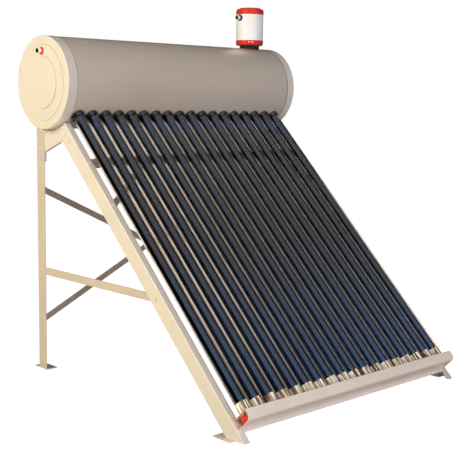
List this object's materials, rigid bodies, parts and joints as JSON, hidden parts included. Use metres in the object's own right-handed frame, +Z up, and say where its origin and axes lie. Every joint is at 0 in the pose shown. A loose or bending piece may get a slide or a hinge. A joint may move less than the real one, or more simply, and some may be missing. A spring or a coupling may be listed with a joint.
{
  "type": "solar water heater",
  "caption": "Thermosiphon solar water heater: horizontal insulated tank over a sloping bank of evacuated glass tubes on a folded-steel stand, with a float-valve feeder tank on top.",
  "frame": {"origin": "on the floor at the centre of the four anchor holes in the foot plates", "axes": "+Z up, +X along the tank toward the feeder tank, +Y to the back, so the tubes slope down toward -Y"},
  "size_m": [1.572, 1.641, 1.9],
  "materials": {
    "glass": "clear borosilicate glass",
    "absorber_coating": "dark selective coating on glass, glossy",
    "getter_silver": "silvered getter lining",
    "spring_steel": "bright spring steel",
    "silicone": "red-brown silicone",
    "black_rubber": "black rubber, satin",
    "red_plastic": "red moulded plastic",
    "champagne_paint": "champagne powder coat with fine metallic flake",
    "zinc_plate": "zinc-plated steel",
    "foam": "cream polyurethane foam",
    "stainless": "stainless steel sheet",
    "white_plastic": "white moulded plastic",
    "magnesium": "dull magnesium",
    "black_plastic": "black moulded plastic",
    "blue_plastic": "blue moulded plastic",
    "brass": "brass",
    "orange_plastic": "orange moulded plastic",
    "brace_paint": "taupe powder coat"
  },
  "bodies": {
    "heater": {"tube_01": "glass", "tube_02": "glass", "tube_03": "glass", "tube_04": "glass", "tube_05": "glass", "tube_06": "glass", "tube_07": "glass", "tube_08": "glass", "tube_09": "glass", "tube_10": "glass", "tube_11": "glass", "tube_12": "glass", "tube_13": "glass", "tube_14": "glass", "tube_15": "glass", "tube_16": "glass", "tube_17": "glass", "tube_18": "glass", "absorber_tubes": "absorber_coating", "getter_mirrors": "getter_silver", "tube_clips": "spring_steel", "tank_seals": "silicone", "dust_rings": "black_rubber", "tube_cups": "red_plastic", "tail_rail": "champagne_paint", "rail_screws": "zinc_plate", "outer_shell": "champagne_paint", "insulation": "foam", "inner_tank": "stainless", "end_cap_left": "champagne_paint", "end_cap_right": "champagne_paint", "hot_outlet": "white_plastic", "outlet_grommet": "red_plastic", "anode": "magnesium", "feeder_stub": "stainless", "feeder_collar": "black_plastic", "feeder_base": "red_plastic", "feeder_body": "white_plastic", "inlet_stub": "white_plastic", "inlet_ring": "blue_plastic", "float_valve": "white_plastic", "float_pin": "spring_steel", "front_leg_left": "champagne_paint", "front_leg_right": "champagne_paint", "rear_leg_left": "champagne_paint", "rear_leg_right": "champagne_paint", "saddle_left": "champagne_paint", "saddle_right": "champagne_paint", "side_brace_left": "champagne_paint", "side_brace_right": "champagne_paint", "rear_brace_down": "brace_paint", "rear_brace_up": "brace_paint", "cross_bar": "brace_paint", "front_stays": "brace_paint", "foot_plates": "champagne_paint", "frame_bolts": "zinc_plate"},
    "float": {"float_arm": "brass", "float_ball": "orange_plastic"},
    "plunger": {"valve_plunger": "silicone"},
    "lid": {"feeder_lid": "red_plastic"}
  },
  "joints": [
    {"name": "float_hinge", "type": "hinge", "parent": "heater", "child": "float", "pos_m": [0.592, 0.555, 1.832], "axis": [0, 1, 0], "range_deg": [0, 45]},
    {"name": "plunger_slide", "type": "slide", "parent": "heater", "child": "plunger", "axis": [1, 0, 0], "range_m": [0, 0.005]},
    {"name": "lid_lift", "type": "slide", "parent": "heater", "child": "lid", "axis": [0, 0, 1], "range_m": [0, 0.12]}
  ],
  "couplings": [
    {"joint": "plunger_slide", "follows": "float_hinge", "m_per_rad": 0.006}
  ]
}
